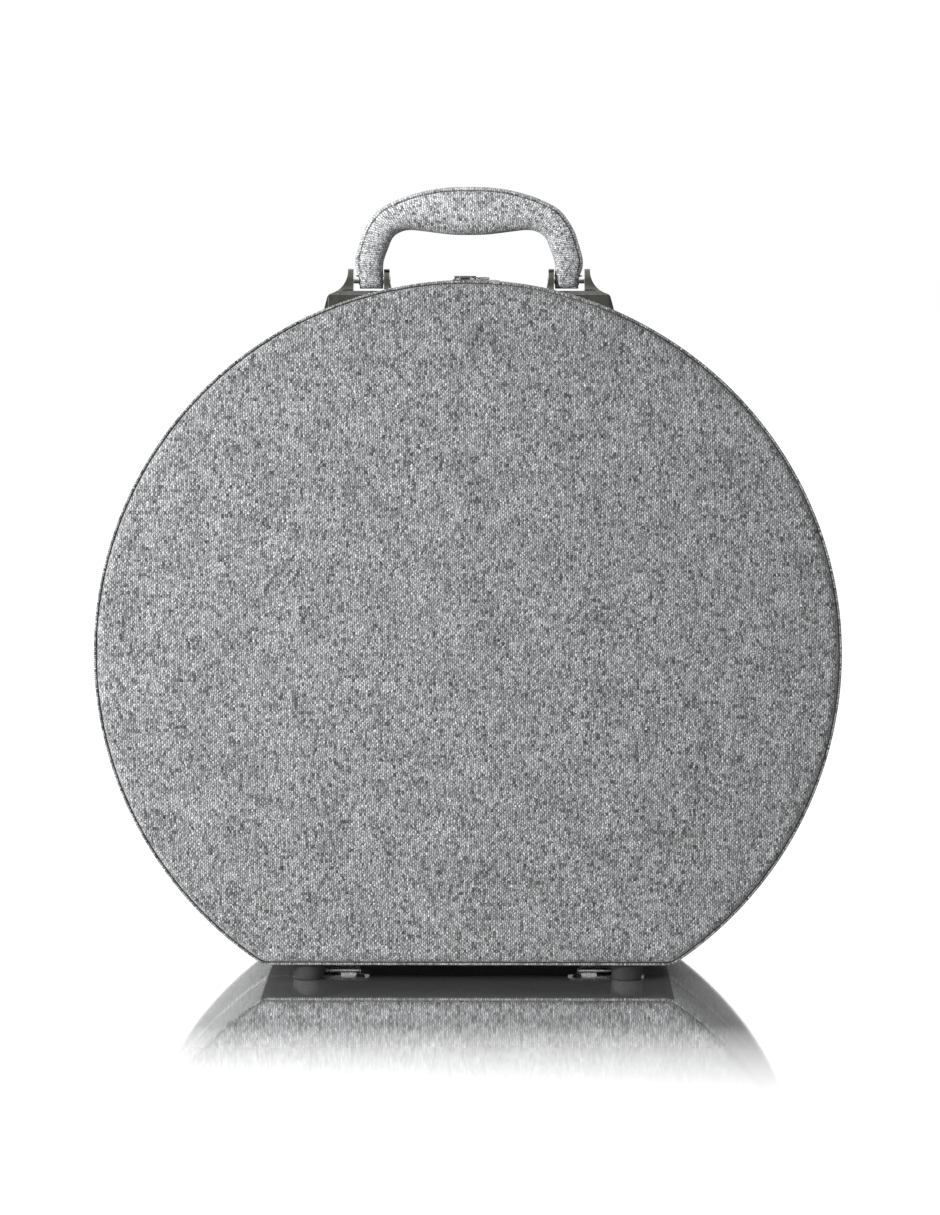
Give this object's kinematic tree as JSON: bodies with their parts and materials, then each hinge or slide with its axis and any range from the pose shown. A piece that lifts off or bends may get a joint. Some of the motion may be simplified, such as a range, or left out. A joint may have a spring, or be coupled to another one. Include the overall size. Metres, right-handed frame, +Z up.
{
  "type": "round hat box",
  "caption": "Round hard hat box on a flat base: fabric-covered lid and case hinged at the bottom, with a latch and a padded bow handle on top.",
  "frame": {"origin": "on the supporting surface under the feet, below the middle of the drum", "axes": "+Z up; the lid faces -Y; +X is to the right when looking at the lid"},
  "size_m": [0.4008, 0.18, 0.428],
  "materials": {
    "woven_fabric": "woven grey melange",
    "rim_fabric": "folded woven edge",
    "lining": "smooth twill",
    "board": "pressed fibre",
    "foam": "soft foam",
    "core": "moulded",
    "gunmetal": "polished dark nickel plate",
    "bright_steel": "polished",
    "spring_steel": "bright drawn",
    "black_guard": "fine grain",
    "black_rubber": "moulded rubber",
    "bush": "moulded"
  },
  "bodies": {
    "case": {"case_hoop": "board", "case_back_panel": "board", "closing_collar": "lining", "case_hoop_cover": "woven_fabric", "case_back_cover": "woven_fabric", "case_rim_binding": "rim_fabric", "case_lining_hoop": "lining", "case_lining_panel": "lining", "case_base_guard": "black_guard", "handle_bracket_left": "gunmetal", "handle_bracket_right": "gunmetal", "bracket_backing_left": "spring_steel", "bracket_backing_right": "spring_steel", "bracket_screws": "bright_steel", "pivot_pin_left": "bright_steel", "pivot_pin_right": "bright_steel", "latch_base": "gunmetal", "latch_spring": "spring_steel", "latch_rivets": "bright_steel", "hinge_leaf_case_left": "bright_steel", "hinge_leaf_case_right": "bright_steel", "hinge_pin_left": "bright_steel", "hinge_pin_right": "bright_steel", "hinge_rivets_case": "bright_steel", "rear_foot_left": "black_rubber", "rear_foot_right": "black_rubber", "rear_foot_screws": "bright_steel"},
    "lid": {"lid_hoop": "board", "lid_front_panel": "board", "lid_hoop_cover": "woven_fabric", "lid_front_cover": "woven_fabric", "lid_rim_binding": "rim_fabric", "lid_lining_hoop": "lining", "lid_lining_panel": "lining", "lid_base_guard": "black_guard", "hasp_plate": "gunmetal", "hasp_plate_rivets": "bright_steel", "hasp_pin": "bright_steel", "hinge_leaf_lid_left": "bright_steel", "hinge_leaf_lid_right": "bright_steel", "hinge_rivets_lid": "bright_steel", "front_foot_left": "black_rubber", "front_foot_right": "black_rubber", "front_foot_screws": "bright_steel"},
    "handle": {"handle_core": "core", "handle_padding": "foam", "handle_cover": "woven_fabric", "handle_welt": "woven_fabric", "handle_bush_left": "bush", "handle_bush_right": "bush"},
    "hasp": {"hasp": "gunmetal"},
    "latch_slide": {"latch_slide": "gunmetal"}
  },
  "joints": [
    {"name": "lid_hinge", "type": "hinge", "parent": "case", "child": "lid", "pos_m": [0, -0.018, 0.0059], "axis": [1, 0, 0], "range_deg": [0, 170]},
    {"name": "handle_swing", "type": "hinge", "parent": "case", "child": "handle", "pos_m": [0, 0, 0.3767], "axis": [1, 0, 0], "range_deg": [-65, 60]},
    {"name": "hasp_hinge", "type": "hinge", "parent": "lid", "child": "hasp", "pos_m": [0, -0.0265, 0.3773], "axis": [1, 0, 0], "range_deg": [0, 150]},
    {"name": "latch_slide_travel", "type": "slide", "parent": "case", "child": "latch_slide", "axis": [1, 0, 0], "range_m": [0, 0.0044], "stiffness_N_per_m": 150, "springref_m": -0.003}
  ]
}
